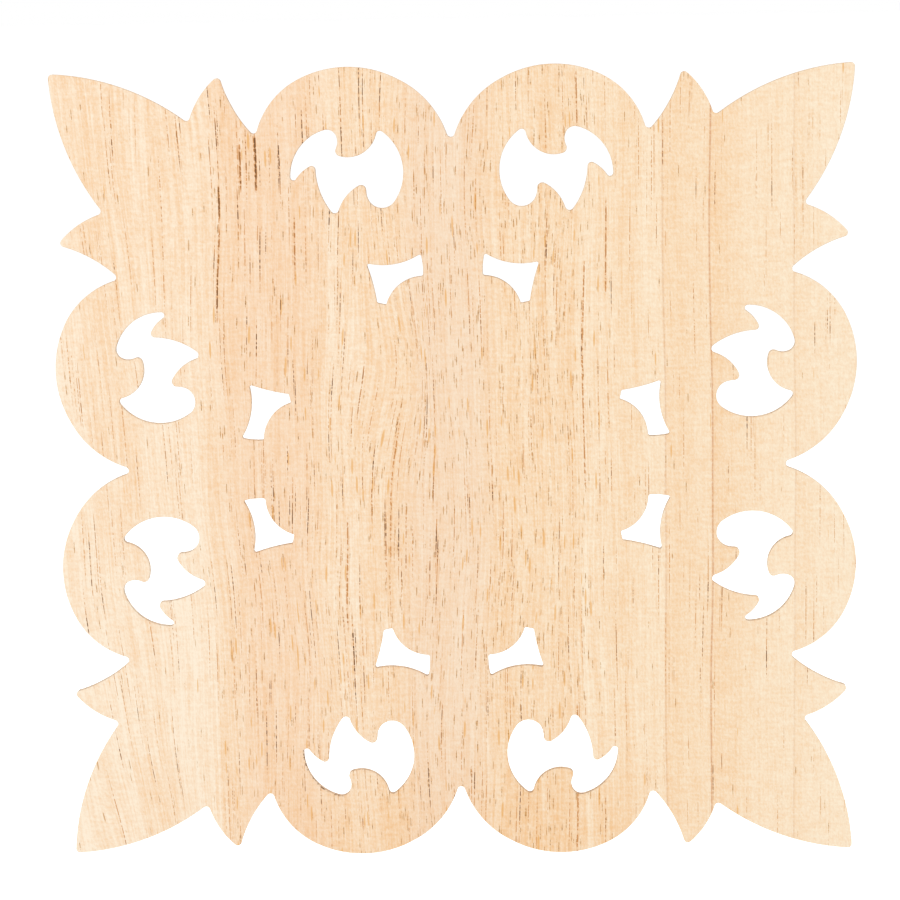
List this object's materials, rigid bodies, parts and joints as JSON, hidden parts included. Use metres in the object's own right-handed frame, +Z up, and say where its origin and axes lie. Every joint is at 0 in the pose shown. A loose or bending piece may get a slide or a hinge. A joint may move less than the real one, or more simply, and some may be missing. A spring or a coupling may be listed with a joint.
{
  "type": "carved wood applique",
  "caption": "Square pierced wooden applique for furniture or a wall, with a flat back and a front carved with scrolls, leaves and a rosette",
  "frame": {"origin": "centre of the flat back face, where the applique is fixed", "axes": "+Y is the outward normal of the flat back, -Y the way the carving faces, +Z up along the grain"},
  "size_m": [0.202, 0.012, 0.202],
  "materials": {
    "rubberwood": "unfinished pale rubberwood, sawn and sanded, with short brown vessel lines along the grain"
  },
  "bodies": {
    "root": {"applique": "rubberwood"}
  },
  "joints": []
}
